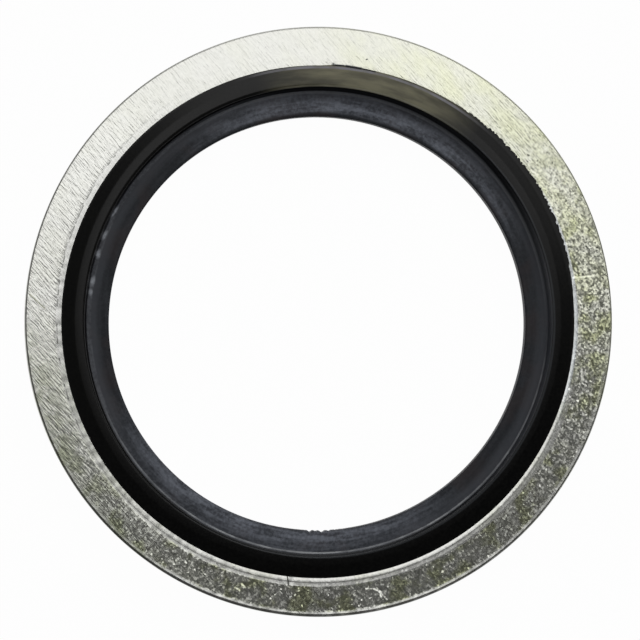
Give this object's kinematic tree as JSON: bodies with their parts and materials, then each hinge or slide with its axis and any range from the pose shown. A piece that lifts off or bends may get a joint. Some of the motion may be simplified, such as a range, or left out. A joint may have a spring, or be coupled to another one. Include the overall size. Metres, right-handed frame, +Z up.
{
  "type": "bonded sealing washer",
  "caption": "Self-centring bonded sealing washer: a flat zinc-plated steel ring with a moulded black rubber bead and thin inner centring lip vulcanised into its bore.",
  "frame": {"origin": "centre of the plane that the washer lies on, which is the crest of its lower bead, on the washer's axis", "axes": "+Z up along the washer's axis; X and Y lie in the resting plane and are interchangeable, as the washer is round and the same on both faces"},
  "size_m": [0.0428, 0.0428, 0.004],
  "materials": {
    "zinc_plated_steel": "bright zinc plate over blanked and brushed mild steel, satin, with fine scratches",
    "nitrile_rubber": "compression-moulded black nitrile rubber, glossy on the bead and matt on the lip"
  },
  "bodies": {
    "root": {"steel_ring": "zinc_plated_steel", "rubber_seal": "nitrile_rubber"}
  },
  "joints": []
}
